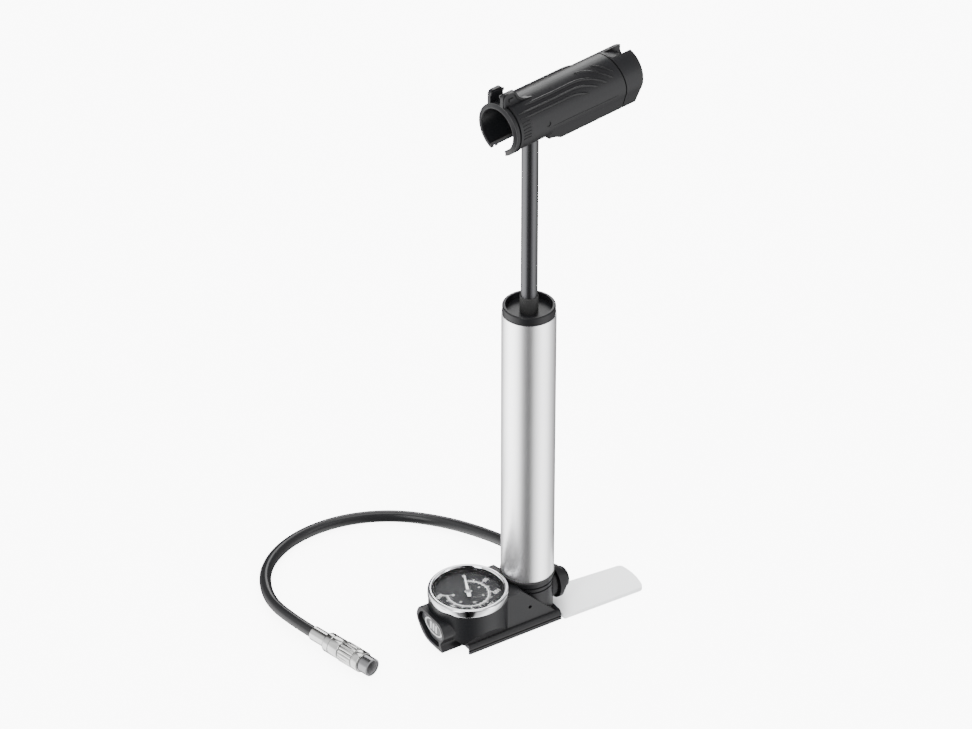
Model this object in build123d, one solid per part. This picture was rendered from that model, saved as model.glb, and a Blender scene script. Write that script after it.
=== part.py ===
from build123d import *
import math
import os

# Hand pump for shock absorbers: a base with a pressure gauge and a swing-out foot plate, an upright
# aluminium barrel, a T handle that folds in line with its rod, and a short hose with a screw-on chuck.
# Millimetres. The barrel stands on the Z axis, the floor is Z = 0, +X points along the foot plate.

# ---- driving dimensions ---------------------------------------------------------------------------
BARREL_R, BARREL_BORE = 14.0, 12.9
BARREL_LOW, BARREL_TOP = 28.0, 188.0
CAP_R, CAP_TOP, CAP_FLOOR = 13.65, 192.5, 189.0
ROD_R, ROD_BORE = 4.3, 3.0
RUN = 0.05                                  # radial play of a running fit
GAP = 0.3                                   # space between parts that move past each other
PISTON_LOW, PISTON_TOP = 168.0, 178.0

BASE_LEFT, BASE_RIGHT, BASE_HALF = -46.0, 11.0, 16.4
FLOOR_CLEAR = 2.7                           # underside of the base, above the foot plate
SHOULDER_Z = 5.4                            # top of the rounded bead along the base
BOSS_R, BOSS_TOP = 13.6, 27.0
WEDGE_HALF, WEDGE_SUM = 14.3, 13.8          # neck block, cut by the plane x + z = WEDGE_SUM
GAUGE_X, CUP_R, CUP_BORE, CUP_TOP = -36.6, 20.9, 18.7, 25.8
CUP_LOW_Z, WELL_R, WELL_Z, STEP_Z = 14.8, 13.6, 8.0, 17.5
BEZEL_R, BEZEL_TOP, OPENING_R = 21.2, 29.8, 18.0
DIAL_Z, NEEDLE_Z, LENS_Z = 25.6, 26.9, 28.9

NOSE_X, NOSE_Z, NOSE_HALF, NOSE_TALL = -60.0, 12.0, 13.3, 17.6
NOSE_WALL, NOSE_DEEP = 1.7, 5.0
BUTTON_FACE, BUTTON_THICK, BUTTON_TRAVEL = -57.7, 1.5, 1.2

FOOT_T, FOOT_HUB_R, FOOT_ROOT, FOOT_TIP = 2.2, 11.8, 12.2, 63.4
PIVOT_X, PIVOT_Y = 8.5, -3.0               # screw the foot plate swings about
SWING_R, SKIRT = 55.9, 15.1                 # pocket the plate folds into, inner face of the near skirt

SWIVEL_Z, SWIVEL_X, SWIVEL_R, SWIVEL_W = 13.6, 15.2, 9.5, 4.6
OUTLET_TILT = 4.0                           # degrees below level

HANDLE_Z, HANDLE_YAW = 303.0, 10.4
HANDLE_R, HANDLE_BORE = 13.2, 11.0
HANDLE_LEFT, HANDLE_RIGHT = -21.5, 64.5
SEAM_X, CLIP_RING_W = 52.3, 4.6
SLOT_HALF = 5.05
PIN_R = 1.5
EYE_R = 4.75

HOSE_R = 3.2
CHUCK_Z = 5.9                               # height of the chuck's axis, as it lies on the floor
CHUCK_DIR = Vector(0.242, -0.970, 0).normalized()


# ---- helpers --------------------------------------------------------------------------------------
def rod(radius, at, axis, length):
    """Cylinder from a point, along an axis."""
    return extrude(Plane(origin=at, z_dir=axis) * Circle(radius), length)


def ring(outer, inner, at, axis, length):
    """Tube from a point, along an axis."""
    return extrude(Plane(origin=at, z_dir=axis) * (Circle(outer) - Circle(inner)), length)


def block(x0, x1, y0, y1, z0, z1):
    """Box between two corners."""
    return Pos((x0 + x1) / 2, (y0 + y1) / 2, (z0 + z1) / 2) * Box(x1 - x0, y1 - y0, z1 - z0)


def spring(radius, wire, at, axis, length, turns):
    """Compression spring, drawn as a helix between two flat planes."""
    pitch = (length - 2 * wire) / turns
    path = Helix(pitch, pitch * turns, radius)
    coil = sweep(Plane(origin=path @ 0, z_dir=path % 0) * Circle(wire), path)
    return Plane(origin=Vector(*at) + Vector(*axis) * wire, z_dir=axis).location * coil


def save(shape, name):
    """Write one node."""
    if not isinstance(shape, (Solid, Compound)):
        shape = Compound(children=list(shape.solids()))
    export_step(shape, "parts/" + name + ".step")


UP, LEFT, RIGHT = (0, 0, 1), (-1, 0, 0), (1, 0, 0)
GAUGE = Vector(GAUGE_X, 0, 0)


# ---- base -----------------------------------------------------------------------------------------
def side_profile():
    """Section of the base rail: a floor strip, a groove, and a rounded bead, the same on both sides."""
    edge, bead = BASE_HALF, WEDGE_HALF + 0.3
    with BuildSketch(Plane.YZ.offset(BASE_LEFT)) as sketch:
        with BuildLine():
            Polyline((edge - 0.2, 2.5), (edge - 0.7, 2.5), (edge - 0.7, 1.9), (edge, 1.9), (edge, 0), (-edge, 0),
                     (-edge, 1.9), (0.7 - edge, 1.9), (0.7 - edge, 2.5), (0.2 - edge, 2.5))
            ThreePointArc((0.2 - edge, 2.5), (0.6 - edge, 4.4), (-bead, SHOULDER_Z))
            Line((-bead, SHOULDER_Z), (bead, SHOULDER_Z))
            ThreePointArc((bead, SHOULDER_Z), (edge - 0.6, 4.4), (edge - 0.2, 2.5))
        make_face()
    return sketch.sketch


def nose_outline(half, tall):
    """D shape, flat on top and round below, in the plane across the nose."""
    top, low = tall / 2, -tall / 2
    with BuildSketch(Plane(origin=(NOSE_X, 0, NOSE_Z), x_dir=(0, -1, 0), z_dir=LEFT)) as sketch:
        with BuildLine():
            Line((6 - half, top), (half - 6, top))
            Spline((half - 6, top), (half - 1.5, top - 2.3), (half, top - 6.6), (half - 3.2, low + 4.6),
                   (0, low), tangents=((1, 0), (-1, 0)))
            Spline((0, low), (3.2 - half, low + 4.6), (-half, top - 6.6), (1.5 - half, top - 2.3),
                   (6 - half, top), tangents=((-1, 0), (1, 0)))
        make_face()
    return sketch.sketch


def base_body():
    """Black moulding: rail, gauge cup, neck block, barrel boss and button nose."""
    rail = extrude(side_profile(), BASE_RIGHT - BASE_LEFT)
    flare = loft([
        Plane((BASE_LEFT / 2 - 7, 0, SHOULDER_Z - 0.6)) * Rectangle(34, 2 * WEDGE_HALF),
        Plane((BASE_LEFT / 2 - 12, 0, CUP_LOW_Z)) * Rectangle(44, 2 * CUP_R + 0.4),
    ])
    cup_foot = rod(CUP_R, GAUGE + Vector(0, 0, SHOULDER_Z - 0.6), UP, CUP_LOW_Z - SHOULDER_Z + 0.6) & flare
    cup = rod(CUP_R, GAUGE + Vector(0, 0, CUP_LOW_Z), UP, CUP_TOP - CUP_LOW_Z)
    neck = block(-28, 14, -WEDGE_HALF, WEDGE_HALF, FLOOR_CLEAR + 1, 25.6)
    past_plane = Pos(WEDGE_SUM, 0, 0) * Rot(0, -45, 0) * Box(60, 60, 200, align=(Align.MIN, Align.CENTER, Align.CENTER))
    neck = neck - past_plane
    boss = rod(BOSS_R, (0, 0, FLOOR_CLEAR), UP, BOSS_TOP - FLOOR_CLEAR)
    for groove_z in (20.4, 23.0):
        boss = boss - ring(BOSS_R + 1, BOSS_R - 0.8, (0, 0, groove_z), UP, 0.9)
    spigot = rod(BARREL_BORE, (0, 0, BOSS_TOP), UP, 8)
    nose = extrude(nose_outline(NOSE_HALF, NOSE_TALL), -18)
    pad = rod(7.6, (8, 0, SWIVEL_Z), RIGHT, SWIVEL_X - 8 - 0.8)
    body = rail + cup_foot + cup + neck + boss + spigot + nose + pad
    # gauge well, in two steps
    body = body - rod(CUP_BORE, GAUGE + Vector(0, 0, STEP_Z), UP, 20)
    body = body - rod(WELL_R, GAUGE + Vector(0, 0, WELL_Z), UP, 20)
    # button recess, its spring pocket and the stem hole into the well
    body = body - extrude(nose_outline(NOSE_HALF - NOSE_WALL, NOSE_TALL - 2 * NOSE_WALL), -NOSE_DEEP)
    body = body - rod(3.2, (NOSE_X + NOSE_DEEP - 0.1, 0, NOSE_Z), RIGHT, 3.6)
    body = body - rod(1.3, (NOSE_X + NOSE_DEEP, 0, NOSE_Z), RIGHT, 8)
    # air way: pump chamber, valve seat, gauge socket and swivel bore
    body = body - rod(4.0, (0, 0, 19.0), UP, 30)
    body = body - rod(2.0, (0, 0, SWIVEL_Z), UP, 10)
    body = body - rod(1.4, (-24, 0, SWIVEL_Z), RIGHT, 28)
    body = body - rod(3.0, (3.2, 0, SWIVEL_Z), RIGHT, 20)
    # vent hole in the neck block, pivot hole for the foot plate
    body = body - rod(1.0, (-7.4, -WEDGE_HALF - 1, 14.2), (0, 1, 0), 3.5)
    body = body - rod(2.0, (PIVOT_X, PIVOT_Y, 0), UP, 9.0)
    pocket = rod(SWING_R, (PIVOT_X, PIVOT_Y, -1), UP, FLOOR_CLEAR + 1)
    return body - (pocket & block(-60, 12, -SKIRT, 40, -1, FLOOR_CLEAR))


def barrel_parts():
    """Barrel, its gasket, and the cap with bush, seal and wiper at the top."""
    barrel = ring(BARREL_R, BARREL_BORE, (0, 0, BARREL_LOW), UP, BARREL_TOP - BARREL_LOW)
    gasket = ring(BARREL_R + 0.35, BARREL_BORE, (0, 0, BOSS_TOP), UP, BARREL_LOW - BOSS_TOP)
    cap = rod(CAP_R, (0, 0, BARREL_TOP), UP, CAP_TOP - BARREL_TOP)
    cap = cap + rod(BARREL_BORE, (0, 0, BARREL_TOP - 6), UP, 6)
    cap = fillet(cap.edges().group_by(Axis.Z)[-1], 0.7)
    cap = cap - rod(CAP_R - 1.6, (0, 0, CAP_FLOOR), UP, 10)
    cap = cap - rod(6.0, (0, 0, BARREL_TOP - 7), UP, 20)
    bush = ring(6.0, ROD_R + RUN, (0, 0, BARREL_TOP - 6), UP, CAP_FLOOR - BARREL_TOP + 6)
    wiper = ring(4.75, ROD_R + RUN, (0, 0, CAP_FLOOR), UP, 9.0)
    wiper = chamfer(wiper.edges().group_by(Axis.Z)[-1].filter_by(lambda e: e.radius > 4.6), 0.3)
    return {"barrel": barrel, "barrel_gasket": gasket, "barrel_cap": cap, "rod_bush": bush, "rod_wiper": wiper}


def piston_parts():
    """Piston that slides in the barrel, with its O-ring; the rod turns in it."""
    body = rod(BARREL_BORE - 0.15, (0, 0, PISTON_LOW), UP, PISTON_TOP - PISTON_LOW)
    body = body - ring(20, 11.0, (0, 0, PISTON_LOW + 4), UP, 2.4)
    body = body - rod(ROD_BORE - 0.2 + RUN, (0, 0, PISTON_LOW - 1), UP, 20)
    seal = ring(BARREL_BORE - 0.02, 11.0, (0, 0, PISTON_LOW + 4), UP, 2.4)
    return {"piston": body, "piston_ring": seal}


def rod_parts():
    """Hollow rod with a turned foot held in the piston by a clip, and the eye on its top."""
    tube = ring(ROD_R, ROD_BORE, (0, 0, PISTON_TOP + GAP), UP, 290 - PISTON_TOP - GAP)
    foot = rod(ROD_BORE - 0.2, (0, 0, PISTON_LOW - 2.6), UP, PISTON_TOP + GAP - PISTON_LOW + 2.6)
    foot = foot + rod(ROD_BORE, (0, 0, PISTON_TOP + GAP), UP, 6)
    clip = ring(4.6, ROD_BORE - 0.2, (0, 0, PISTON_LOW - 1.6), UP, 1.3)
    eye = rod(ROD_BORE, (0, 0, 284), UP, 6) + rod(EYE_R, (0, 0, 290), UP, HANDLE_Z - 290)
    yaw = Pos(0, 0, HANDLE_Z) * Rot(0, 0, HANDLE_YAW)
    cheek = rod(EYE_R, (0, -EYE_R, 0), (0, 1, 0), 2 * EYE_R)
    eye = eye + yaw * cheek
    eye = eye - yaw * rod(PIN_R + RUN, (0, -8, 0), (0, 1, 0), 16)
    return {"pump_rod": tube, "rod_foot": foot, "rod_clip": clip, "rod_eye": eye}


# ---- handle, in its own frame: x along it, pivot at the origin --------------------------------------
def handle_parts():
    """C-section shell with its end cap, hose clip ring and pivot pin."""
    seam = Pos(SEAM_X, 0, 0) * Rot(0, -10, 0)
    right_of_seam = seam * Box(60, 60, 60, align=(Align.MIN, Align.CENTER, Align.CENTER))
    shell_left = HANDLE_LEFT + CLIP_RING_W
    tube = rod(HANDLE_R, (shell_left, 0, 0), RIGHT, HANDLE_RIGHT - shell_left)
    belly = handle_belly(0.0)
    with BuildSketch(Plane.XZ) as lead:
        with BuildLine():
            Polyline((3.5, -11.8), (3.5, -30), (16, -30), (16, -15.9))
            Spline((16, -15.9), (10.5, -13.6), (3.5, -11.8), tangents=((-1, 0.1), (-1, 0.0)))
        make_face()
    belly = belly - extrude(lead.sketch, 30, both=True)
    belly = belly - block(39, 80, -20, 20, -16, -15.3)
    outer = fillet((tube + belly).edges().filter_by(Axis.X).group_by(Axis.Z)[0], 1.2)
    cavity = rod(HANDLE_BORE, (shell_left - 1, 0, 0), RIGHT, 13.5 - shell_left + 1)
    cavity = cavity + rod(HANDLE_BORE - 0.4, (16.5, 0, 0), RIGHT, HANDLE_RIGHT)
    slot = block(HANDLE_LEFT - 1, 0, -SLOT_HALF, SLOT_HALF, -30, 0)
    slot = slot + rod(SLOT_HALF, (0, 0, -30), UP, 30)
    shell = outer - cavity - slot - right_of_seam
    cheeks = rod(EYE_R, (0, -HANDLE_R + 1, 0), (0, 1, 0), HANDLE_R - 1 - SLOT_HALF)
    cheeks = cheeks + rod(EYE_R, (0, SLOT_HALF, 0), (0, 1, 0), HANDLE_R - 1 - SLOT_HALF)
    shell = shell + cheeks
    shell = shell - rod(PIN_R, (0, -20, 0), (0, 1, 0), 40)
    cap = (outer & right_of_seam) - rod(HANDLE_BORE - 0.4, (0, 0, 0), RIGHT, HANDLE_RIGHT - 2.4)
    # shadow line round the handle where the cap meets the shell
    core = rod(HANDLE_R - 0.7, (30, 0, 0), RIGHT, 40) + handle_belly(0.7)
    cap = cap - (seam * Box(0.7, 60, 60, align=(Align.MIN, Align.CENTER, Align.CENTER)) - core)
    notch = Pos(HANDLE_RIGHT, 0, 9.3) * Rot(0, 16, 0)
    cap = cap - notch * Box(40, 7.0, 12, align=(Align.CENTER, Align.CENTER, Align.MIN))
    cap = cap - rod(3.5, (HANDLE_RIGHT - 4, 0, 10.6), RIGHT, 8)
    pin = rod(PIN_R, (0, -HANDLE_R + 0.4, 0), (0, 1, 0), 2 * HANDLE_R - 0.8)
    return {"handle_shell": shell, "handle_cap": cap, "hose_clip": hose_clip(), "pivot_pin": pin}


def handle_belly(inset):
    """Flat-sided keel under the handle, its section moved inwards by inset."""
    with BuildSketch(Plane.YZ.offset(4.0)) as section:
        with BuildLine():
            low, wide = inset - 15.8, 12.2 - inset
            Polyline((-wide, -4.9), (0.6 * inset - 7.6, low), (7.6 - 0.6 * inset, low), (wide, -4.9), (-wide, -4.9))
        make_face()
    return extrude(section.sketch, HANDLE_RIGHT - 4.0)


def hose_clip():
    """End ring of the handle, with two arms on top that hold the hose."""
    left, right = HANDLE_LEFT, HANDLE_LEFT + CLIP_RING_W
    body = rod(HANDLE_R + 0.5, (left, 0, 0), RIGHT, CLIP_RING_W)
    body = body - ring(20, HANDLE_R - 0.5, (left + 2.0, 0, 0), RIGHT, 1.0)
    arm = block(left, left + 8.6, 5.6, 7.6, 6, 19.0)
    near = block(left, left + 8.6, -3.4, -1.4, 6, 20.2)
    arms = fillet(arm.edges().filter_by(Axis.Y).group_by(Axis.Z)[-1], 2.2)
    arms = arms + fillet(near.edges().filter_by(Axis.Y).group_by(Axis.Z)[-1], 2.2)
    lip = block(left, left + 8.6, -1.4, -0.7, 18.0, 19.4) + block(left, left + 8.6, 4.9, 5.6, 16.8, 18.2)
    with BuildSketch(Plane.XZ.offset(3.4)) as rib:
        with BuildLine():
            Spline((left + 7.6, 19.6), (left + 10.6, 15.4), (left + 19, 12.6), tangents=((1, -1.6), (1, -0.2)))
            Polyline((left + 19, 12.6), (left + 19, 9), (left + 7.6, 9), (left + 7.6, 19.6))
        make_face()
    gusset = extrude(rib.sketch, -2.0)
    skin = rod(HANDLE_R + 0.02, (left + CLIP_RING_W, 0, 0), RIGHT, 30)
    arms = (arms + lip + gusset) - skin
    floor = block(left, left + 8.6, -1.4, 5.6, 10, 12.4) - skin
    body = body + arms + floor
    body = body - rod(HANDLE_BORE, (left - 1, 0, 0), RIGHT, CLIP_RING_W + 1.1)
    body = body - block(left - 1, right + 1, -SLOT_HALF, SLOT_HALF, -30, 0)
    return body


# ---- gauge ----------------------------------------------------------------------------------------
def gauge_parts():
    """Pressure gauge: chromed bezel, lens, dial, movement, Bourdon tube, socket and needle."""
    bezel = ring(BEZEL_R, CUP_BORE, GAUGE + Vector(0, 0, CUP_TOP), UP, BEZEL_TOP - CUP_TOP)
    bezel = bezel + ring(BEZEL_R, OPENING_R, GAUGE + Vector(0, 0, BEZEL_TOP - 0.9), UP, 0.9)
    bezel = chamfer(bezel.edges().group_by(Axis.Z)[-1].filter_by(lambda e: e.radius > 20), 0.5)
    lens = rod(CUP_BORE, GAUGE + Vector(0, 0, LENS_Z - 0.9), UP, 0.9)
    lens = lens - rod(0.6, GAUGE + Vector(0, 0, LENS_Z - 1), UP, 0.3)
    dial = ring(CUP_BORE, 0.9, GAUGE + Vector(0, 0, DIAL_Z - 0.6), UP, 0.6)
    liner = ring(CUP_BORE, CUP_BORE - 0.7, GAUGE + Vector(0, 0, DIAL_Z), UP, LENS_Z - 0.9 - DIAL_Z)
    plate = block(-6, 6, -7, 7, 19.5, 21) + block(-6, 6, -7, -5, 21, 25) + block(-6, 6, 5, 7, 21, 25)
    plate = plate - rod(0.75, (0, 0, 15), UP, 12)
    movement = Pos(GAUGE_X, 0, 0) * plate
    socket = block(-6, 6, -4, 4, WELL_Z, 16) + block(-6, 0, -10, -4, 11, 16)
    socket = socket + block(-2, 2, -3.5, 3.5, 16, 19.5)
    socket = Pos(GAUGE_X, 0, 0) * socket
    tube_path = Pos(GAUGE_X, 0, 14.2) * CenterArc((0, 0), 11.2, 240, 250)
    bourdon = sweep(Plane(origin=tube_path @ 0, z_dir=tube_path % 0) * Circle(1.2), tube_path)
    socket = socket - bourdon
    needle_dir = 66.0
    pointer = Polyline((-4.2, -1.5), (0, -1.2), (13.8, -0.15), (13.8, 0.15), (0, 1.2), (-4.2, 1.5), (-4.2, -1.5))
    needle = extrude(make_face(pointer), 0.35)
    needle = Pos(0, 0, NEEDLE_Z) * (needle + Cylinder(2.4, 0.7, align=(Align.CENTER, Align.CENTER, Align.MIN)))
    spindle = Pos(0, 0, 20) * Cylinder(0.7, NEEDLE_Z - 20, align=(Align.CENTER, Align.CENTER, Align.MIN))
    needle = Pos(GAUGE_X, 0, 0) * Rot(0, 0, needle_dir) * (needle + spindle)
    return {"gauge_bezel": bezel, "gauge_lens": lens, "gauge_dial": dial, "gauge_liner": liner,
            "gauge_movement": movement, "gauge_socket": socket, "bourdon_tube": bourdon, "gauge_needle": needle}


def button_parts():
    """Air release button in the nose, its return spring and the release valve on the gauge socket."""
    inner_half, inner_tall = NOSE_HALF - NOSE_WALL - GAP, NOSE_TALL - 2 * NOSE_WALL - 2 * GAP
    cap = Pos(BUTTON_FACE - NOSE_X, 0, 0) * extrude(nose_outline(inner_half, inner_tall), -BUTTON_THICK)
    back = BUTTON_FACE + BUTTON_THICK
    stem_end = GAUGE_X - 6.0 - 1.0 - BUTTON_TRAVEL - 0.2
    cap = cap + rod(1.3 - RUN, (back, 0, NOSE_Z), RIGHT, stem_end - back)
    coil = spring(2.3, 0.3, (back, 0, NOSE_Z), RIGHT, NOSE_X + NOSE_DEEP + 3.4 - back, 3.5)
    valve = rod(2.2, (GAUGE_X - 7.0, 0, NOSE_Z), RIGHT, 1.0)
    return {"release_button": cap, "button_spring": coil, "release_valve": valve}


def valve_parts():
    """Outlet check valve under the pump chamber: seat screw, disc and spring."""
    seat = ring(4.0, 1.5, (0, 0, 32.0), UP, 3.0)
    disc = rod(3.2, (0, 0, 30.4), UP, 1.6)
    coil = spring(2.4, 0.3, (0, 0, 19.0), UP, 11.4, 5)
    return {"valve_seat": seat, "check_valve": disc, "valve_spring": coil}


def foot_parts():
    """Foot plate that swings about the pivot screw under the boss."""
    with BuildSketch() as outline:
        with BuildLine():
            near, far = (FOOT_ROOT, -17.2), (FOOT_ROOT, 8.6)
            near_tip, far_tip = (61.2, -18.4), (FOOT_TIP - 1.4, 4.2)
            Line(near, near_tip)
            ThreePointArc(near_tip, (FOOT_TIP, -7.5), far_tip)
            Polyline(far_tip, far, near)
        make_face()
    sheet = outline.sketch
    sheet = fillet(sheet.vertices().sort_by(Axis.X)[-2:], 3.0)
    sheet = fillet(sheet.vertices().sort_by(Axis.X)[0], 1.2)
    plate = extrude(sheet + Pos(PIVOT_X, PIVOT_Y) * Circle(FOOT_HUB_R), FOOT_T)
    plate = plate - rod(3.0 + RUN, (PIVOT_X, PIVOT_Y, -1), UP, 5) - rod(4.6, (PIVOT_X, PIVOT_Y, -1), UP, 2.1)
    screw = rod(4.3, (0, 0, 0.25), UP, 0.75) + rod(3.0, (0, 0, 1.0), UP, FLOOR_CLEAR - 1.0)
    screw = screw + rod(2.0, (0, 0, FLOOR_CLEAR), UP, 5.5)
    screw = screw - extrude(Plane((0, 0, 0.2)) * RegularPolygon(1.3, 6), 0.6)
    return {"foot_plate": plate, "foot_screw": Pos(PIVOT_X, PIVOT_Y, 0) * screw}


# ---- swivel, hose and chuck -------------------------------------------------------------------------
OUTLET = Vector(0, math.cos(math.radians(OUTLET_TILT)), -math.sin(math.radians(OUTLET_TILT)))
OUTLET_FROM = Vector(SWIVEL_X + SWIVEL_W / 2, 0, SWIVEL_Z)
RELIEF_START, RELIEF_LONG, HOSE_START = 9.2, 16.0, 12.0

# Route of the hose's centre line, from the swivel to the ferrule.
CHUCK_FROM = Vector(-106.2, 27.6, CHUCK_Z)
ROUTE = [
    OUTLET_FROM + OUTLET * HOSE_START,
    OUTLET_FROM + OUTLET * (HOSE_START + 26.0),
    Vector(13.2, 63.5, 6.0),
    Vector(1.5, 88.5, 3.3),
    Vector(-19.5, 108.5, 3.3),
    Vector(-47.0, 118.9, 3.3),
    Vector(-76.5, 117.0, 3.3),
    Vector(-100.5, 102.5, 3.3),
    Vector(-112.3, 78.5, 3.3),
    CHUCK_FROM - CHUCK_DIR * 25.5,
    CHUCK_FROM,
]


def hose_path():
    """Straight runs joined by arcs as large as the runs allow; prints the radii."""
    radii = []
    for before, here, after in zip(ROUTE, ROUTE[1:], ROUTE[2:]):
        turn = math.radians((here - before).get_angle(after - here))
        short = min((here - before).length, (after - here).length)
        radii.append(0.45 * short / math.tan(turn / 2))
    print("hose arc radii", [round(radius, 1) for radius in radii])
    print("hose runs", [round((b - a).length, 1) for a, b in zip(ROUTE, ROUTE[1:])])
    return FilletPolyline(*ROUTE, radius=radii)


def swivel_parts():
    """Banjo ring clamped to the boss by a hollow bolt with a domed head, two washers, strain relief."""
    face = SWIVEL_X
    banjo = rod(SWIVEL_R, (face, 0, SWIVEL_Z), RIGHT, 2.2) + rod(SWIVEL_R - 1.1, (face, 0, SWIVEL_Z), RIGHT, 3.4)
    banjo = banjo + rod(SWIVEL_R - 2.0, (face, 0, SWIVEL_Z), RIGHT, SWIVEL_W)
    banjo = banjo + rod(2.2, OUTLET_FROM, OUTLET, HOSE_START)
    banjo = banjo + rod(3.4, OUTLET_FROM + OUTLET * 8.2, OUTLET, RELIEF_START + 0.6 - 8.2)
    banjo = banjo - rod(3.05, (face - 1, 0, SWIVEL_Z), RIGHT, 20)
    washer_in = ring(6.6, 3.05, (face - 0.8, 0, SWIVEL_Z), RIGHT, 0.8)
    washer_out = ring(5.6, 3.05, (face + SWIVEL_W, 0, SWIVEL_Z), RIGHT, 0.6)
    head_x = face + SWIVEL_W + 0.6
    bolt = rod(6.0, (head_x, 0, SWIVEL_Z), RIGHT, 3.6)
    bolt = fillet(bolt.edges().group_by(Axis.X)[-1], 3.0)
    bolt = bolt + rod(3.0, (6.0, 0, SWIVEL_Z), RIGHT, head_x - 6.0)
    bolt = bolt - rod(1.3, (5, 0, SWIVEL_Z), RIGHT, 12)
    relief = extrude(Plane(origin=OUTLET_FROM + OUTLET * (RELIEF_START + 0.6), z_dir=OUTLET) * Circle(4.9),
                     RELIEF_LONG, taper=3.2)
    relief = relief - rod(HOSE_R, OUTLET_FROM, OUTLET, 60)
    return {"swivel_banjo": banjo, "swivel_bolt": bolt, "inner_washer": washer_in, "outer_washer": washer_out,
            "strain_relief": relief}


def along(distance):
    """Point on the chuck's axis, from the start of the ferrule."""
    return CHUCK_FROM + CHUCK_DIR * (distance - FERRULE_IN)


FERRULE_IN = 9.0                            # hose inside the ferrule


def chuck_parts():
    """Crimped ferrule on the hose, and the screw-on chuck that turns on its neck."""
    ferrule = rod(3.9, along(0), CHUCK_DIR, 9.9) - rod(HOSE_R, along(-1), CHUCK_DIR, 1 + FERRULE_IN)
    ferrule = ferrule + rod(2.6, along(9.9), CHUCK_DIR, 5.0) + rod(3.6, along(14.9), CHUCK_DIR, 1.4)
    ferrule = ferrule - rod(1.0, along(FERRULE_IN - 1), CHUCK_DIR, 10)
    sleeve = rod(5.4, along(10.2), CHUCK_DIR, 11.4)
    sleeve = chamfer(sleeve.edges().filter_by(GeomType.CIRCLE).sort_by_distance(along(10.2))[0], 0.8)
    sleeve = sleeve - rod(2.6 + RUN, along(10), CHUCK_DIR, 6) - rod(3.9, along(14.6), CHUCK_DIR, 2.1)
    sleeve = sleeve - rod(2.6, along(16.5), CHUCK_DIR, 6)
    core = rod(2.6, along(17.2), CHUCK_DIR, 4.4) + rod(4.8, along(21.6), CHUCK_DIR, 15.4)
    core = core + rod(4.95, along(37.0), CHUCK_DIR, 5.4)
    core = core - rod(4.3, along(34.4), CHUCK_DIR, 1.4) - rod(4.0, along(35.8), CHUCK_DIR, 7)
    core = core - rod(1.0, along(17), CHUCK_DIR, 20)
    face = Plane(origin=along(21.8), z_dir=CHUCK_DIR, x_dir=(0, 0, 1))
    thumb = extrude(face * (RegularPolygon(5.75, 8, major_radius=False) & Circle(6.0)), 9.8)
    thumb = thumb + extrude(face.offset(10.2) * Circle(5.75), 4.4) + extrude(face.offset(9.0) * Circle(5.3), 2.0)
    thumb = thumb - rod(4.8, along(20), CHUCK_DIR, 20)
    washer = ring(4.3, 1.2, along(34.4), CHUCK_DIR, 1.4)
    pin = rod(1.0, along(30), CHUCK_DIR, 5.6)
    return {"hose_ferrule": ferrule, "chuck_sleeve": sleeve, "chuck_core": core, "thumb_ring": thumb,
            "chuck_washer": washer, "valve_pin": pin}


def hose_tube():
    """Hose as one round tube along its route."""
    path = hose_path()
    tube = sweep(Plane(origin=path @ 0, z_dir=path % 0) * Circle(HOSE_R), path)
    print("hose length", round(path.length, 1), "volume error",
          round(tube.volume / (math.pi * HOSE_R ** 2 * path.length) - 1, 4))
    return tube


# ---- all nodes --------------------------------------------------------------------------------------
def main():
    os.makedirs("parts", exist_ok=True)
    nodes = {"base_body": base_body(), "hose": hose_tube()}
    for group in (barrel_parts(), piston_parts(), rod_parts(), gauge_parts(), button_parts(), valve_parts(),
                  foot_parts(), swivel_parts(), chuck_parts()):
        nodes.update(group)
    handle_place = Pos(0, 0, HANDLE_Z) * Rot(0, 0, HANDLE_YAW)
    for name, shape in handle_parts().items():
        nodes[name] = handle_place * shape
    for name, shape in nodes.items():
        save(shape, name)
    print(len(nodes), "nodes")


main()
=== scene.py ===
import math

import bpy
import bmesh
from mathutils import Matrix, Vector


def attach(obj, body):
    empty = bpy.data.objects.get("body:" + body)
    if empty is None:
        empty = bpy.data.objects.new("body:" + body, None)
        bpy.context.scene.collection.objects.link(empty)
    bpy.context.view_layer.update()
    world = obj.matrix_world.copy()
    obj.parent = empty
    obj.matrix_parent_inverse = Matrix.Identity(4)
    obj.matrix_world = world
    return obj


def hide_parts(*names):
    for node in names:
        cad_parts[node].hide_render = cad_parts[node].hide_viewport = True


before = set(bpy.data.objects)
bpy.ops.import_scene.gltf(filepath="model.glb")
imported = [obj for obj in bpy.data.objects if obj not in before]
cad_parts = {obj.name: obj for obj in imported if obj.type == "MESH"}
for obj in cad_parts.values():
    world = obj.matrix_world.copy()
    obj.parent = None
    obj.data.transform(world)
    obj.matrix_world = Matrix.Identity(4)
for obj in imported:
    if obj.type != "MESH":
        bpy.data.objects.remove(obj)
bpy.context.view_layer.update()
MM = 0.001

# ---- camera ---------------------------------------------------------------------------------------
AZIMUTH, ELEVATION, DISTANCE = math.radians(-32.5), math.radians(34.0), 2.2
target = Vector((-17.88, 12.11, 155.43)) * MM
outward = Vector((
    math.sin(AZIMUTH) * math.cos(ELEVATION),
    -math.cos(AZIMUTH) * math.cos(ELEVATION),
    math.sin(ELEVATION),
))
lens = bpy.data.cameras.new("camera")
lens.sensor_width = 36.0
lens.lens = 160.9
lens.clip_start = 0.05
lens.clip_end = 20.0
camera = bpy.data.objects.new("camera", lens)
bpy.context.scene.collection.objects.link(camera)
camera.location = target + outward * DISTANCE
camera.rotation_euler = (-outward).to_track_quat("-Z", "Y").to_euler()
bpy.context.scene.camera = camera


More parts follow.
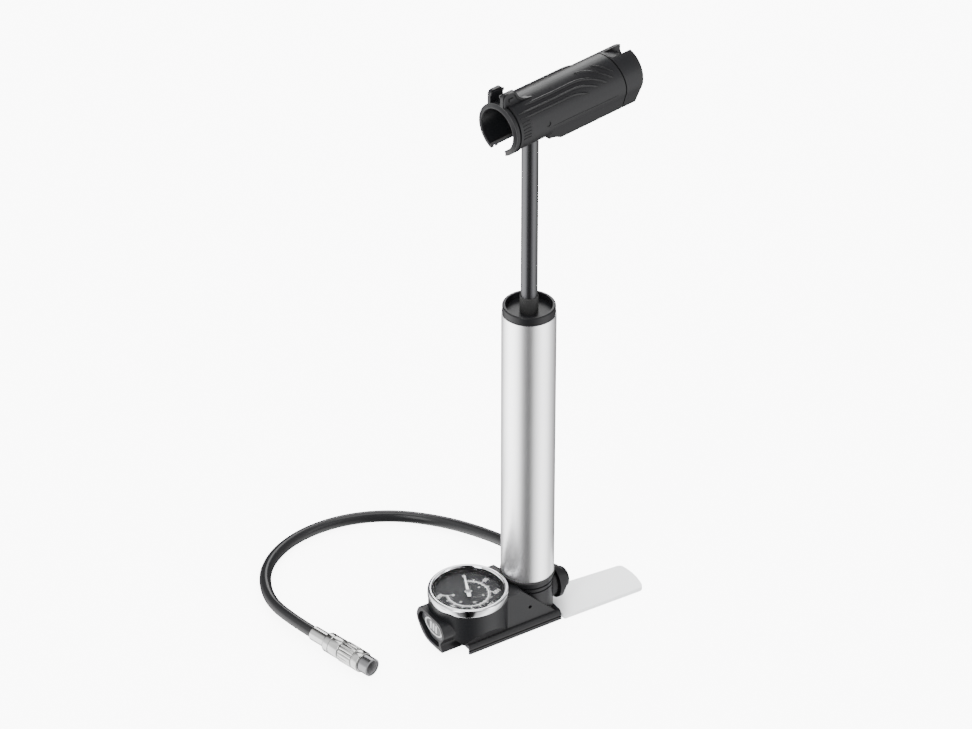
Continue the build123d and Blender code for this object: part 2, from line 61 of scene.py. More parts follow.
# ---- material tools -------------------------------------------------------------------------------
def new_group(name, inputs, outputs):
    """Empty shader node group with its sockets, its tree, its input node and its output node."""
    tree = bpy.data.node_groups.new(name, "ShaderNodeTree")
    for label, kind, value in inputs:
        made = tree.interface.new_socket(name=label, in_out="INPUT", socket_type=kind)
        made.default_value = value
    for label, kind in outputs:
        tree.interface.new_socket(name=label, in_out="OUTPUT", socket_type=kind)
    return tree, tree.nodes.new("NodeGroupInput"), tree.nodes.new("NodeGroupOutput")


def surface_group():
    """Fine grain: a colour and a roughness that drift a little, and a shallow bumped normal."""
    tree, start, end = new_group(
        "fine_surface",
        [
            ("Color", "NodeSocketColor", (0.5, 0.5, 0.5, 1)),
            ("Roughness", "NodeSocketFloat", 0.4),
            ("Drift", "NodeSocketFloat", 0.1),
            ("Grain Scale", "NodeSocketFloat", 4000.0),
            ("Grain Height", "NodeSocketFloat", 0.1),
            ("Stretch", "NodeSocketVector", (1.0, 1.0, 1.0)),
        ],
        [("Color", "NodeSocketColor"), ("Roughness", "NodeSocketFloat"), ("Normal", "NodeSocketVector")],
    )
    links = tree.links
    place = tree.nodes.new("ShaderNodeTexCoord")
    stretched = tree.nodes.new("ShaderNodeVectorMath")
    stretched.operation = "MULTIPLY"
    links.new(place.outputs["Object"], stretched.inputs[0])
    links.new(start.outputs["Stretch"], stretched.inputs[1])
    fine = tree.nodes.new("ShaderNodeTexNoise")
    fine.inputs["Detail"].default_value = 3.0
    links.new(stretched.outputs[0], fine.inputs["Vector"])
    links.new(start.outputs["Grain Scale"], fine.inputs["Scale"])
    broad = tree.nodes.new("ShaderNodeTexNoise")
    broad.inputs["Scale"].default_value = 55.0
    broad.inputs["Detail"].default_value = 4.0
    links.new(place.outputs["Object"], broad.inputs["Vector"])
    centred = tree.nodes.new("ShaderNodeMath")
    centred.operation = "SUBTRACT"
    centred.inputs[1].default_value = 0.5
    links.new(broad.outputs["Fac"], centred.inputs[0])
    drift = tree.nodes.new("ShaderNodeMath")
    drift.operation = "MULTIPLY"
    links.new(centred.outputs[0], drift.inputs[0])
    links.new(start.outputs["Drift"], drift.inputs[1])
    rough = tree.nodes.new("ShaderNodeMath")
    rough.operation = "ADD"
    rough.use_clamp = True
    links.new(start.outputs["Roughness"], rough.inputs[0])
    links.new(drift.outputs[0], rough.inputs[1])
    links.new(rough.outputs[0], end.inputs["Roughness"])
    level = tree.nodes.new("ShaderNodeMath")
    level.operation = "ADD"
    level.inputs[1].default_value = 1.0
    links.new(drift.outputs[0], level.inputs[0])
    tone = tree.nodes.new("ShaderNodeVectorMath")
    tone.operation = "SCALE"
    links.new(start.outputs["Color"], tone.inputs[0])
    links.new(level.outputs[0], tone.inputs["Scale"])
    links.new(tone.outputs[0], end.inputs["Color"])
    bump = tree.nodes.new("ShaderNodeBump")
    bump.inputs["Distance"].default_value = 0.0001
    links.new(start.outputs["Grain Height"], bump.inputs["Strength"])
    links.new(fine.outputs["Fac"], bump.inputs["Height"])
    links.new(bump.outputs["Normal"], end.inputs["Normal"])
    return tree


SURFACE = surface_group()


def material(name, color, rough, metal=0.0, drift=0.1, scale=4000.0, height=0.1, stretch=(1, 1, 1),
             specular=0.5):
    """Principled material fed by the shared surface group."""
    made = bpy.data.materials.new(name)
    made.use_nodes = True
    tree = made.node_tree
    shader = tree.nodes["Principled BSDF"]
    group = tree.nodes.new("ShaderNodeGroup")
    group.node_tree = SURFACE
    group.inputs["Color"].default_value = (*color, 1.0)
    group.inputs["Roughness"].default_value = rough
    group.inputs["Drift"].default_value = drift
    group.inputs["Grain Scale"].default_value = scale
    group.inputs["Grain Height"].default_value = height
    group.inputs["Stretch"].default_value = stretch
    tree.links.new(group.outputs["Color"], shader.inputs["Base Color"])
    tree.links.new(group.outputs["Roughness"], shader.inputs["Roughness"])
    tree.links.new(group.outputs["Normal"], shader.inputs["Normal"])
    shader.inputs["Metallic"].default_value = metal
    shader.inputs["Specular IOR Level"].default_value = specular
    return made


def clear_material(name):
    """Clear plastic of the gauge's window."""
    made = bpy.data.materials.new(name)
    made.use_nodes = True
    shader = made.node_tree.nodes["Principled BSDF"]
    shader.inputs["Base Color"].default_value = (0.02, 0.02, 0.02, 1)
    shader.inputs["Roughness"].default_value = 0.04
    shader.inputs["Alpha"].default_value = 0.035
    return made


BLACK = material("black_moulding", (0.008, 0.008, 0.009), 0.34, drift=0.12, scale=3500, height=0.14,
                 specular=0.15)
HANDLE_BLACK = material("handle_moulding", (0.008, 0.008, 0.009), 0.35, drift=0.12, scale=3000, height=0.18,
                        specular=0.16)
BARREL = material("barrel_metal", (0.90, 0.90, 0.91), 0.35, metal=1.0, drift=0.03, scale=1500, height=0.015,
                  stretch=(1, 1, 0.02))
RUBBER = material("black_rubber", (0.02, 0.02, 0.02), 0.6, drift=0.2, scale=2500, height=0.25, specular=0.25)
HOSE = material("hose_rubber", (0.012, 0.012, 0.013), 0.22, drift=0.08, scale=1500, height=0.06, specular=0.2)
ROD = material("rod_metal", (0.055, 0.055, 0.058), 0.27, metal=0.85, drift=0.04, scale=2500, height=0.0)
STEEL = material("steel", (0.5, 0.51, 0.53), 0.3, metal=1.0, drift=0.1, scale=2000, height=0.08)
CHROME = material("chrome_plate", (0.62, 0.62, 0.64), 0.1, metal=1.0, drift=0.04, scale=700, height=0.02)
SATIN_CHROME = material("satin_chrome", (0.37, 0.37, 0.365), 0.17, metal=1.0, drift=0.08, scale=1500,
                        height=0.06)
DARK_CHROME = material("dark_chrome", (0.15, 0.15, 0.155), 0.22, metal=1.0, drift=0.06, scale=1500,
                       height=0.03)
BRASS = material("brass_metal", (0.68, 0.5, 0.22), 0.3, metal=1.0, drift=0.1, scale=1500, height=0.06)
DIAL = material("dial_face", (0.02, 0.021, 0.023), 0.65, drift=0.05, scale=3000, height=0.05, specular=0.2)
WHITE = material("white_print", (0.86, 0.86, 0.86), 0.45, drift=0.03, scale=3000, height=0.03)
PLATE = material("plate_silver", (0.86, 0.87, 0.88), 0.42, metal=0.12, drift=0.03, scale=2500, height=0.08)
BADGE = material("badge", (0.05, 0.05, 0.053), 0.38, drift=0.08, scale=3000, height=0.2)
GREY = material("grey_mark", (0.16, 0.16, 0.165), 0.4, drift=0.05, scale=3000, height=0.05)
MARK = material("pale_mark", (0.62, 0.62, 0.63), 0.4, drift=0.05, scale=3000, height=0.05)
CLEAR = clear_material("lens_clear")

# the finish of every part that comes from the frame
NODE_LOOKS = {
    "base_body": BLACK, "barrel": BARREL, "barrel_gasket": RUBBER, "barrel_cap": BLACK, "rod_bush": BLACK,
    "rod_wiper": RUBBER, "piston": BLACK, "piston_ring": RUBBER, "pump_rod": ROD, "rod_foot": STEEL,
    "rod_clip": STEEL, "rod_eye": ROD, "pivot_pin": BLACK, "handle_shell": HANDLE_BLACK,
    "handle_cap": HANDLE_BLACK, "hose_clip": HANDLE_BLACK, "gauge_bezel": CHROME, "gauge_lens": CLEAR,
    "gauge_dial": DIAL, "gauge_liner": BLACK, "gauge_movement": BRASS, "gauge_socket": BRASS,
    "bourdon_tube": BRASS, "gauge_needle": WHITE, "release_button": BADGE, "button_spring": STEEL,
    "release_valve": BRASS, "valve_seat": BRASS, "check_valve": RUBBER, "valve_spring": STEEL,
    "foot_plate": PLATE, "foot_screw": STEEL, "swivel_banjo": BLACK, "swivel_bolt": BLACK,
    "inner_washer": RUBBER, "outer_washer": RUBBER, "strain_relief": RUBBER, "hose": HOSE,
    "hose_ferrule": SATIN_CHROME, "chuck_sleeve": SATIN_CHROME, "chuck_core": DARK_CHROME,
    "thumb_ring": SATIN_CHROME, "chuck_washer": RUBBER, "valve_pin": BRASS,
}
# width in millimetres of the rounding on the edges of each moulded or machined part
EDGES = {
    "base_body": 0.45, "barrel_cap": 0.35, "handle_shell": 0.5, "handle_cap": 0.5, "hose_clip": 0.35,
    "foot_plate": 0.3, "release_button": 0.35, "swivel_banjo": 0.3, "barrel": 0.2,
    "strain_relief": 0.4, "rod_wiper": 0.2, "gauge_needle": 0.1, "hose_ferrule": 0.3,
}
# an edge that turns by fewer degrees than this isn't rounded
SHARPEST_LEFT = 34
for name, look in NODE_LOOKS.items():
    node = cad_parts[name]
    node.data.materials.clear()
    node.data.materials.append(look)
    if name in EDGES:
        soft = node.modifiers.new("soft_edges", "BEVEL")
        soft.width = EDGES[name] * MM
        soft.segments = 3
        soft.limit_method = "ANGLE"
        soft.angle_limit = math.radians(SHARPEST_LEFT)
        soft.harden_normals = False


# ---- where the handle, the chuck and the gauge sit --------------------------------------------------
HANDLE_Z, HANDLE_YAW, HANDLE_RADIUS = 303.0, 10.4, 13.2
HANDLE_PLACE = Matrix.Translation((0, 0, HANDLE_Z * MM)) @ Matrix.Rotation(math.radians(HANDLE_YAW), 4, "Z")
# the chuck points away from the hose, whose end is inside its ferrule
CHUCK_AXIS = Vector((0.242, -0.970, 0)).normalized()
CHUCK_FROM = Vector((-106.2, 27.6, 5.9)) * MM
GAUGE_X = -36.6
GAUGE_PLACE = Matrix.Translation((GAUGE_X * MM, 0, 0))


# ---- mesh tools -----------------------------------------------------------------------------------
CORNERS = ((-1, -1), (1, -1), (1, 1), (-1, 1))


def add_piece(name, mesh_or_curve, place, look, body, smooth=None):
    """Links a new piece in place, gives it its look, and makes it ride on a body."""
    made = bpy.data.objects.new(name, mesh_or_curve)
    bpy.context.scene.collection.objects.link(made)
    mesh_or_curve.materials.append(look)
    if smooth is not None:
        mesh_or_curve.shade_smooth()
        mesh_or_curve.set_sharp_from_angle(angle=math.radians(smooth))
    made.matrix_world = place
    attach(made, body)
    return made


def mesh_from(name, verts, faces):
    """Mesh from points in millimetres, with its faces turned outwards."""
    made = bpy.data.meshes.new(name)
    made.from_pydata([Vector(v) * MM for v in verts], [], faces)
    shape = bmesh.new()
    shape.from_mesh(made)
    bmesh.ops.recalc_face_normals(shape, faces=shape.faces)
    shape.to_mesh(made)
    shape.free()
    return made


def turned(name, profile, around=96, flutes=0, depth=0.0, fluted=()):
    """Closed lathe shape about z. profile is a loop of (r, z); chosen points can be fluted."""
    verts, faces = [], []
    count = len(profile)
    for turn in range(around):
        angle = 2 * math.pi * turn / around
        for number, (radius, height) in enumerate(profile):
            if flutes and number in fluted:
                radius -= depth * (0.5 + 0.5 * math.cos(flutes * angle)) ** 4
            verts.append((radius * math.cos(angle), radius * math.sin(angle), height))
    for turn in range(around):
        after = (turn + 1) % around
        for number in range(count):
            up = (number + 1) % count
            faces.append((
                turn * count + number, after * count + number, after * count + up, turn * count + up))
    return mesh_from(name, verts, faces)


def slab(name, outline, low, high):
    """Flat plate between two heights from an outline of (x, y)."""
    count = len(outline)
    verts = [(x, y, low) for x, y in outline] + [(x, y, high) for x, y in outline]
    faces = [tuple(range(count)), tuple(range(count, 2 * count))]
    faces += [(i, (i + 1) % count, count + (i + 1) % count, count + i) for i in range(count)]
    return mesh_from(name, verts, faces)


def smooth_path(points, steps=8):
    """Points along a Catmull-Rom curve through the given ones."""
    padded = [points[0]] + list(points) + [points[-1]]
    line = []
    for a, b, c, d in zip(padded, padded[1:], padded[2:], padded[3:]):
        for step in range(steps):
            t = step / steps
            line.append(tuple(
                0.5 * (2 * q + (r - p) * t + (2 * p - 5 * q + 4 * r - s) * t * t
                       + (3 * q - p - 3 * r + s) * t ** 3)
                for p, q, r, s in zip(a, b, c, d)))
    line.append(tuple(points[-1]))
    return line


def box_faces(base):
    """Faces of a box from its eight corners, four at one end and then four at the other."""
    ends = [tuple(range(base, base + 4)), tuple(range(base + 4, base + 8))]
    return ends + [(base + k, base + (k + 1) % 4, base + 4 + (k + 1) % 4, base + 4 + k) for k in range(4)]


def swept_faces(count, rows):
    """Faces of a closed tube of count sections with rows points each, with its two end caps."""
    faces = []
    for number in range(count - 1):
        for k in range(rows):
            after = (k + 1) % rows
            faces.append((number * rows + k, (number + 1) * rows + k, (number + 1) * rows + after,
                          number * rows + after))
    return faces + [tuple(range(rows)), tuple(range((count - 1) * rows, count * rows))]


def handle_ridge(name, points, width, height, radius=HANDLE_RADIUS):
    """Raised line on the round of the handle.

    points are (x along the handle, degrees from its top towards the front).
    """
    line = smooth_path(points)
    verts = []
    section = [(-0.5, -0.5), (-0.35, 0.55), (0.0, 1.0), (0.35, 0.55), (0.5, -0.5)]
    for number, (x, degrees) in enumerate(line):
        ahead = line[min(number + 1, len(line) - 1)]
        behind = line[max(number - 1, 0)]
        along = Vector((ahead[0] - behind[0], math.radians(ahead[1] - behind[1]) * radius)).normalized()
        # thinner towards both ends of the line
        taper = min(1.0, 0.25 + 0.25 * min(number, len(line) - 1 - number))
        for across, up in section:
            offset_x = -along.y * across * width * taper
            offset_a = along.x * across * width * taper / radius
            angle = math.radians(degrees) + offset_a
            r = radius + up * height * taper
            verts.append((x + offset_x, -r * math.sin(angle), r * math.cos(angle)))
    return mesh_from(name, verts, swept_faces(len(line), len(section)))


# ---- hose -----------------------------------------------------------------------------------------
DROOP = math.radians(4.0)
HOSE_RADIUS = 3.2
leaving = Vector((0, math.cos(DROOP), -math.sin(DROOP)))
outlet = Vector((17.5, 0, 13.6))
hose_points = [
    outlet + leaving * 12.0,
    outlet + leaving * 38.0,
    Vector((13.2, 63.5, 6.0)),
    Vector((1.5, 88.5, 3.3)),
    Vector((-19.5, 108.5, 3.3)),
    Vector((-47.0, 118.9, 3.3)),
    Vector((-76.5, 117.0, 3.3)),
    Vector((-100.5, 102.5, 3.3)),
    Vector((-112.3, 78.5, 3.3)),
    CHUCK_FROM / MM - CHUCK_AXIS * 25.5,
    CHUCK_FROM / MM,
]
line = bpy.data.curves.new("hose_line", "CURVE")
line.dimensions = "3D"
line.bevel_depth = HOSE_RADIUS * MM
line.bevel_resolution = 8
line.use_fill_caps = True
run = line.splines.new("NURBS")
run.points.add(len(hose_points) - 1)
for spot, point in zip(run.points, hose_points):
    spot.co = (*(point * MM), 1.0)
run.order_u = 3
run.use_endpoint_u = True
run.resolution_u = 24
hose = add_piece("hose_tube", line, Matrix.Identity(4), HOSE, "base")
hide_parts("hose")

# ---- gauge ----------------------------------------------------------------------------------------
bezel_profile = [
    (18.72, 25.8), (21.05, 25.8), (21.2, 26.1), (21.2, 28.5), (21.1, 29.0), (20.8, 29.4), (20.3, 29.7),
    (19.7, 29.8), (19.2, 29.75), (18.9, 29.5), (18.6, 28.92), (18.72, 28.92),
]
bezel = add_piece("bezel_ring", turned("bezel_ring", bezel_profile, 128), GAUGE_PLACE, CHROME, "base",
                  smooth=50)
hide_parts("gauge_bezel")
window_profile = [(0.02, 28.05), (18.6, 28.05), (18.6, 28.6), (14.0, 28.78), (8.0, 28.88), (0.02, 28.9)]
window = add_piece("gauge_window", turned("gauge_window", window_profile, 96), GAUGE_PLACE, CLEAR, "base",
                   smooth=40)
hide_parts("gauge_lens")

# bearing of the zero mark and clockwise sweep of the scale, in degrees, and the height of the dial's face
ZERO, SWEEP = 66.0, 270.0
DIAL_TOP = 25.6
PRINT_LOW, PRINT_HIGH = 0.01, 0.05
ARC_INNER, ARC_OUTER = 10.55, 10.95


def arc_band(name, inner, outer, start, end, steps=90):
    """Thin printed arc on the dial, clockwise from start to end in degrees."""
    angles = [math.radians(start + (end - start) * i / steps) for i in range(steps + 1)]
    verts, faces = [], []
    for angle in angles:
        for radius, height in (
                (inner, PRINT_LOW), (outer, PRINT_LOW), (outer, PRINT_HIGH), (inner, PRINT_HIGH)):
            verts.append((radius * math.cos(angle), radius * math.sin(angle), DIAL_TOP + height))
    for i in range(steps):
        for k in range(4):
            a, b = i * 4 + k, i * 4 + (k + 1) % 4
            faces.append((a, b, b + 4, a + 4))
    faces += [(0, 1, 2, 3), tuple(range(steps * 4, steps * 4 + 4))]
    return mesh_from(name, verts, faces)


def dial_marks(name, count, inner, outer, width, skip=0):
    """Radial ticks as one mesh. With skip, every skip-th one is left out for a longer tick."""
    verts, faces = [], []
    for number in range(count + 1):
        if skip and number % skip == 0:
            continue
        angle = math.radians(ZERO - SWEEP * number / count)
        along, side = Vector((math.cos(angle), math.sin(angle))), Vector((-math.sin(angle), math.cos(angle)))
        base = len(verts)
        for height in (PRINT_LOW, PRINT_HIGH):
            for reach, half in ((inner, -1), (outer, -1), (outer, 1), (inner, 1)):
                spot = along * reach + side * half * width / 2
                verts.append((spot.x, spot.y, DIAL_TOP + height))
        faces += box_faces(base)
    return mesh_from(name, verts, faces)


add_piece("scale_arc", arc_band("scale_arc", ARC_INNER, ARC_OUTER, ZERO, ZERO - SWEEP), GAUGE_PLACE, WHITE,
          "base")
well_profile = [(17.7, 25.65), (18.68, 25.65), (18.68, 28.0), (18.45, 28.0), (17.9, 26.2)]
add_piece("dial_surround", turned("dial_surround", well_profile, 96), GAUGE_PLACE, BLACK, "base",
          smooth=40)
for name, marks in (
        ("major_ticks", dial_marks("major_ticks", 12, 10.9, 12.9, 0.36)),
        ("minor_ticks", dial_marks("minor_ticks", 60, 10.9, 12.0, 0.16, skip=5)),
        ("inner_ticks", dial_marks("inner_ticks", 20, 9.7, 10.6, 0.2))):
    add_piece(name, marks, GAUGE_PLACE, WHITE, "base")


PRINT_THICK, PRINT_MIDDLE = 0.02, 0.04


def numeral(text, radius, height, degrees):
    """Printed number, upright for someone who reads the dial with its gap at the bottom."""
    letters = bpy.data.curves.new("numeral", "FONT")
    letters.body = text
    letters.size = height * MM
    letters.extrude = PRINT_THICK * MM
    letters.align_x = "CENTER"
    letters.align_y = "CENTER"
    angle = math.radians(degrees)
    up = math.radians(ZERO - SWEEP / 2)
    spot = Matrix.Translation((
        radius * MM * math.cos(angle), radius * MM * math.sin(angle), (DIAL_TOP + PRINT_MIDDLE) * MM))
    label = "numeral_%s_%d" % (text, round(radius))
    add_piece(label, letters, GAUGE_PLACE @ spot @ Matrix.Rotation(up - math.pi / 2, 4, "Z"), WHITE, "base")


for texts, radius, height in (
        (("0", "50", "100", "150", "200", "250", "300"), 15.0, 3.3),
        (("0", "4", "8", "12", "16", "20"), 7.9, 2.0)):
    for step, text in enumerate(texts):
        numeral(text, radius, height, ZERO - SWEEP * step / (len(texts) - 1))

# pointer: a long white blade with a diamond at the hub
one_side = [(-4.6, 0.9), (-1.4, 1.0), (0, 1.9), (1.7, 0.75), (13.9, 0.12)]
blade = one_side + [(x, -y) for x, y in reversed(one_side)]
BLADE_LOW, BLADE_HIGH = 27.05, 27.35
pointer_place = GAUGE_PLACE @ Matrix.Rotation(math.radians(ZERO), 4, "Z")
pointer = add_piece("pointer", slab("pointer", blade, BLADE_LOW, BLADE_HIGH), pointer_place, WHITE, "needle")
hub_profile = [(0.02, BLADE_HIGH), (1.5, BLADE_HIGH), (1.5, 27.5), (1.3, 27.62), (0.02, 27.66)]
add_piece("pointer_hub", turned("pointer_hub", hub_profile, 40), GAUGE_PLACE, GREY, "needle",
          smooth=40)
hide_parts("gauge_needle")

# ---- push mark on the release button: a raised oval with three bars in it --------------------------
BUTTON_FACE, BUTTON_Z = -57.7, 12.4
MARK_FRONT, MARK_BACK = BUTTON_FACE - 0.25, BUTTON_FACE + 0.1
# half the width and height of the oval and of a bar, and the oval's rim as a share of its own
OVAL_Y, OVAL_Z, OVAL_RIM = 8.2, 4.4, 0.14
BAR_Y, BAR_Z, BAR_PITCH = 0.7, 2.2, 2.6


def button_mark():
    """Flat oval ring round three upright bars, standing 0.25 mm proud of the button's face."""
    verts, faces = [], []
    around, inner = 64, 1.0 - OVAL_RIM
    for turn in range(around):
        angle = 2 * math.pi * turn / around
        for reach, x in ((1.0, MARK_BACK), (1.0, MARK_FRONT), (inner, MARK_FRONT), (inner, MARK_BACK)):
            verts.append((
                x,
                OVAL_Y * reach * math.cos(angle),
                BUTTON_Z + OVAL_Z * reach * math.sin(angle),
            ))
    for turn in range(around):
        after = (turn + 1) % around
        for k in range(4):
            up = (k + 1) % 4
            faces.append((turn * 4 + k, after * 4 + k, after * 4 + up, turn * 4 + up))
    for centre in (-BAR_PITCH, 0.0, BAR_PITCH):
        base = len(verts)
        for x in (MARK_BACK, MARK_FRONT):
            verts += [(x, centre + side * BAR_Y, BUTTON_Z + up * BAR_Z) for side, up in CORNERS]
        faces += box_faces(base)
    return mesh_from("button_mark", verts, faces)


add_piece("button_mark", button_mark(), Matrix.Identity(4), MARK, "button", smooth=30)

# ---- handle ---------------------------------------------------------------------------------------
# each raised line: its points (x, degrees), its width and its height
ridges = {
    "line_a": ([(-10, 28), (9, 29), (24, 29), (31, 36), (36, 46), (41, 60)], 1.8, 0.8),
    "line_b": ([(-16.4, 41.5), (8.5, 42), (22, 42), (29, 48), (35, 60)], 1.7, 0.8),
    "line_c": ([(-16.4, 52.5), (8.8, 53), (20, 54), (28, 64)], 1.6, 0.75),
    "wave_a": ([(27, 10), (31, 14), (36, 24), (40, 38), (45.5, 56)], 1.6, 0.55),
    "wave_b": ([(38, 9), (40.5, 18), (43.5, 30), (47, 44)], 1.5, 0.5),
    "grip_line": ([(1, 101), (18, 101), (34, 103), (48, 103)], 0.7, 0.25),
}


def raise_line(name, points, width, height):
    """Adds one raised line to the handle."""
    add_piece(name, handle_ridge(name, points, width, height), HANDLE_PLACE, HANDLE_BLACK, "handle",
              smooth=60)


def far_side(degrees):
    """Where a front line lies on the far side: a little lower, clear of the top."""
    front_start, far_start, closeness = 28, 38, 0.8
    return -(far_start + closeness * (degrees - front_start))


for name, (points, width, height) in ridges.items():
    raise_line(name, points, width, height)
    if not name.startswith("wave"):
        raise_line(name + "_back", [(x, far_side(degrees)) for x, degrees in points], width, height)
RIBS, FIRST_RIB, RIB_PITCH = 6, 62, 7.5
RIB_WIDTH, RIB_HEIGHT = 0.95, 0.42
for number in range(RIBS):
    degrees = FIRST_RIB + RIB_PITCH * number
    for side in (1, -1):
        label = "rib_%d" % number if side == 1 else "rib_%d_back" % number
        raise_line(label, [(x, side * degrees) for x in (-16.3, -14.6, -12.9, -11.2)], RIB_WIDTH, RIB_HEIGHT)

# lip round the open end of the handle, open at the slot underneath: its section is (radius, x past the end)
# and it reaches so many degrees each way from the top
HANDLE_END = -21.5
LIP_SECTION = [
    (11.02, 0.3), (11.02, -0.5), (11.3, -0.75), (11.65, -0.72), (12.0, -0.42), (13.3, -0.1), (13.74, 0.35),
    (13.74, 0.7), (12.0, 0.7),
]
LIP_REACH = 152.0


def end_lip():
    """Rounded inner bead and a sloping rim, swept round the handle's axis."""
    steps = 90
    verts = []
    for step in range(steps + 1):
        angle = math.radians(LIP_REACH * (2 * step / steps - 1))
        verts += [(HANDLE_END + x, -r * math.sin(angle), r * math.cos(angle)) for r, x in LIP_SECTION]
    return mesh_from("end_lip", verts, swept_faces(steps + 1, len(LIP_SECTION)))


add_piece("end_lip", end_lip(), HANDLE_PLACE, HANDLE_BLACK, "handle", smooth=50)


def clip_rim(outline, width, near, far):
    """Raised edge that follows the outline (x, z) of the front clip arm, on its outer face."""
    line = smooth_path(outline)
    verts = []
    for number, (x, z) in enumerate(line):
        ahead = line[min(number + 1, len(line) - 1)]
        behind = line[max(number - 1, 0)]
        along = Vector((ahead[0] - behind[0], ahead[1] - behind[1])).normalized()
        inside = (x + along.y * width, z - along.x * width)
        verts += [(x, near, z), (x, far, z), (inside[0], far, inside[1]), (inside[0], near, inside[1])]
    return mesh_from("clip_rim", verts, swept_faces(len(line), 4))


ARM_FACE, RIM_WIDTH, RIM_PROUD, BOSS_PROUD = -3.2, 1.0, 0.9, 0.7
arm_outline = [
    (HANDLE_END + x, z) for x, z in (
        (0.4, 12.8), (0.4, 18.2), (2.3, 20.1), (6.4, 20.1), (8.3, 18.9), (10.4, 15.9), (13.6, 13.9),
        (18.6, 12.9))
]
rim = clip_rim(arm_outline, RIM_WIDTH, ARM_FACE, ARM_FACE - RIM_PROUD)
add_piece("clip_rim", rim, HANDLE_PLACE, HANDLE_BLACK, "handle", smooth=40)
boss_outline = [(HANDLE_END + x, z) for x, z in ((4.0, 15.2), (6.6, 15.2), (6.6, 16.8), (4.0, 16.8))]
boss = mesh_from(
    "clip_boss",
    [(x, y, z) for y in (ARM_FACE, ARM_FACE - BOSS_PROUD) for x, z in boss_outline],
    box_faces(0),
)
add_piece("clip_boss", boss, HANDLE_PLACE, HANDLE_BLACK, "handle")

# ---- chuck ----------------------------------------------------------------------------------------
chuck_turn = CHUCK_AXIS.to_track_quat("Z", "Y").to_matrix().to_4x4()
HOSE_IN_FERRULE = 9.0
# z along the chuck's axis, from the start of the ferrule
CHUCK_PLACE = Matrix.Translation(CHUCK_FROM - CHUCK_AXIS * HOSE_IN_FERRULE * MM) @ chuck_turn

sleeve_profile = [
    (2.7, 10.2), (4.6, 10.2), (5.0, 10.35), (5.35, 11.0), (5.4, 11.5), (5.4, 14.4), (5.1, 14.6), (5.1, 15.2),
    (5.4, 15.4), (5.4, 20.9), (5.2, 21.4), (4.9, 21.6), (2.7, 21.6),
]
sleeve = add_piece("sleeve_shell", turned("sleeve_shell", sleeve_profile, 96), CHUCK_PLACE, SATIN_CHROME,
                   "chuck", smooth=35)
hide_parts("chuck_sleeve")
thumb_profile = [
    (4.82, 21.8), (5.2, 21.8), (5.5, 22.0), (5.75, 22.5), (5.75, 26.0), (5.75, 30.6), (5.55, 31.2),
    (5.2, 31.4), (5.2, 31.9), (5.5, 32.1), (5.72, 32.4), (5.72, 35.8), (5.5, 36.2), (5.2, 36.4), (4.82, 36.4),
]
thumb_mesh = turned("thumb_shell", thumb_profile, 160, flutes=16, depth=0.45, fluted=(3, 4, 5))
thumb = add_piece("thumb_shell", thumb_mesh, CHUCK_PLACE, SATIN_CHROME, "chuck", smooth=35)
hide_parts("thumb_ring")
THREADS, THREAD_START, THREAD_PITCH, THREAD_ROOT = 7, 36.2, 0.85, 0.42
thread = []
for crest in range(THREADS):
    base = THREAD_START + THREAD_PITCH * crest
    thread += [(3.99, base), (3.72, base + THREAD_ROOT)]
thread_profile = thread + [(3.99, 42.0), (4.06, 42.0), (4.06, 36.1)]
socket_thread = add_piece("socket_thread", turned("socket_thread", thread_profile, 96), CHUCK_PLACE, GREY,
                          "chuck", smooth=20)

# ---- floor and light ------------------------------------------------------------------------------
FLOOR_HALF, FLOOR_DROP = 4000, 0.1
floor_corners = [(x * FLOOR_HALF, y * FLOOR_HALF, -FLOOR_DROP) for x, y in CORNERS]
floor_mesh = mesh_from("floor", floor_corners, [(0, 1, 2, 3)])
floor = bpy.data.objects.new("floor", floor_mesh)
bpy.context.scene.collection.objects.link(floor)
floor_look = bpy.data.materials.new("floor_white")
floor_look.use_nodes = True
floor_shader = floor_look.node_tree.nodes["Principled BSDF"]
floor_shader.inputs["Base Color"].default_value = (0.95, 0.95, 0.95, 1)
floor_shader.inputs["Roughness"].default_value = 0.9
floor_shader.inputs["Emission Color"].default_value = (1, 1, 1, 1)
floor_shader.inputs["Emission Strength"].default_value = 7.0
floor_mesh.materials.append(floor_look)
floor.visible_glossy = False
floor.visible_diffuse = False

world = bpy.data.worlds.new("studio")
world.use_nodes = True
bpy.context.scene.world = world
sky = world.node_tree
back = sky.nodes["Background"]
# reflections see pale screens round the table with darker gaps between them, and dimmer ones above it
place = sky.nodes.new("ShaderNodeTexCoord")
apart = sky.nodes.new("ShaderNodeSeparateXYZ")
sky.links.new(place.outputs["Generated"], apart.inputs["Vector"])
bearing = sky.nodes.new("ShaderNodeMath")
bearing.operation = "ARCTAN2"
sky.links.new(apart.outputs["Y"], bearing.inputs[0])
sky.links.new(apart.outputs["X"], bearing.inputs[1])
share = sky.nodes.new("ShaderNodeMapRange")
share.inputs["From Min"].default_value = -math.pi
share.inputs["From Max"].default_value = math.pi
sky.links.new(bearing.outputs[0], share.inputs["Value"])
screens = sky.nodes.new("ShaderNodeValToRGB")
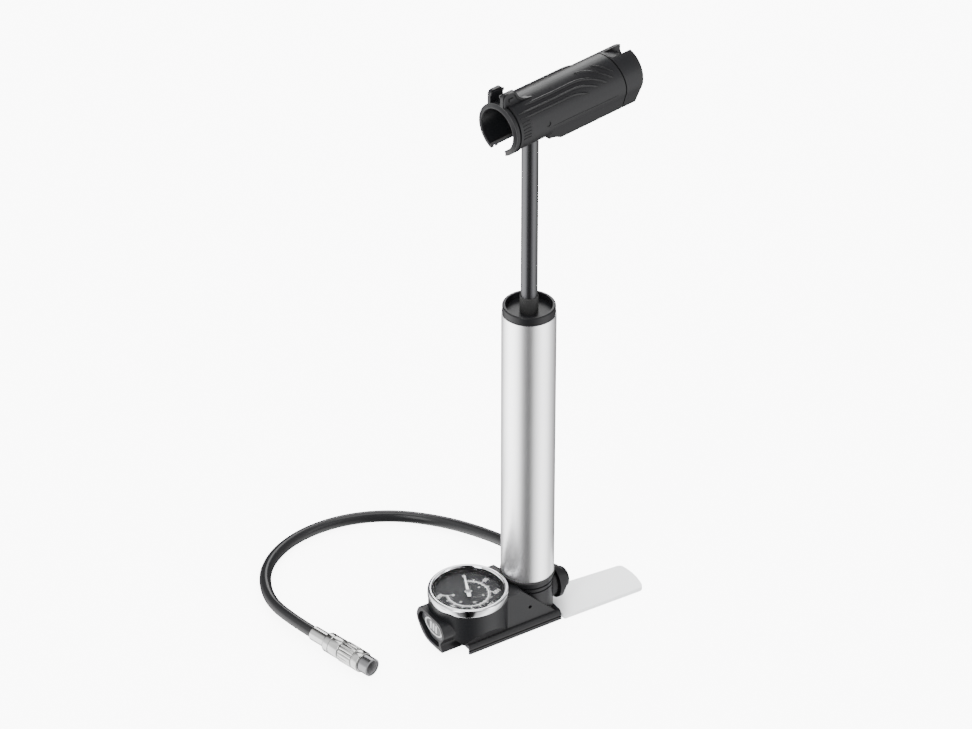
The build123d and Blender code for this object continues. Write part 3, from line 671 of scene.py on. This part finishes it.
# bearing in degrees and brightness of what a glossy surface sees there
SCREENS = [
    (-180, 5.4), (-164, 2.8), (-150, 0.4), (-124, 0.0), (-108, 0.03), (-94, 1.6), (-62, 4.2), (-42, 3.4),
    (-15, 1.0), (25, 0.1), (70, 0.12), (100, 0.5), (125, 3.6), (150, 6.2), (180, 5.4),
]
ramp = screens.color_ramp
ramp.interpolation = "EASE"
while len(ramp.elements) < len(SCREENS):
    ramp.elements.new(0.5)
for mark, (degrees, value) in zip(ramp.elements, SCREENS):
    mark.position = (degrees + 180) / 360
    mark.color = (value, value, value, 1)
sky.links.new(share.outputs["Result"], screens.inputs["Fac"])
ray = sky.nodes.new("ShaderNodeLightPath")
chosen = sky.nodes.new("ShaderNodeMix")
chosen.data_type = "RGBA"
chosen.inputs["A"].default_value = (2.0, 2.0, 2.0, 1)
sky.links.new(ray.outputs["Is Glossy Ray"], chosen.inputs["Factor"])
rise = sky.nodes.new("ShaderNodeMapRange")
rise.interpolation_type = "SMOOTHSTEP"
rise.inputs["From Min"].default_value = -0.05
rise.inputs["From Max"].default_value = 0.35
rise.inputs["To Min"].default_value = 1.0
rise.inputs["To Max"].default_value = 0.38
sky.links.new(apart.outputs["Z"], rise.inputs["Value"])
dimmed = sky.nodes.new("ShaderNodeVectorMath")
dimmed.operation = "SCALE"
sky.links.new(screens.outputs["Color"], dimmed.inputs[0])
sky.links.new(rise.outputs["Result"], dimmed.inputs["Scale"])
sky.links.new(dimmed.outputs[0], chosen.inputs["B"])
sky.links.new(chosen.outputs["Result"], back.inputs["Color"])


def softbox(name, position, aim, size, height, power):
    """Rectangular area light that faces a point."""
    light = bpy.data.lights.new(name, "AREA")
    light.shape = "RECTANGLE"
    light.size = size
    light.size_y = height
    light.energy = power
    made = bpy.data.objects.new(name, light)
    bpy.context.scene.collection.objects.link(made)
    made.location = position
    made.rotation_euler = (Vector(aim) - Vector(position)).to_track_quat("-Z", "Y").to_euler()


softbox("key", (-1.1, -0.55, 0.9), (0, 0, 0.15), 0.5, 1.2, 14)
softbox("fill", (0.7, -1.1, 0.7), (0, 0, 0.15), 0.35, 1.2, 6)
softbox("top", (0.1, 0.2, 1.5), (0, 0, 0.1), 0.9, 0.9, 12)
softbox("rear", (0.6, 0.9, 0.8), (0, 0, 0.15), 0.5, 0.8, 8)
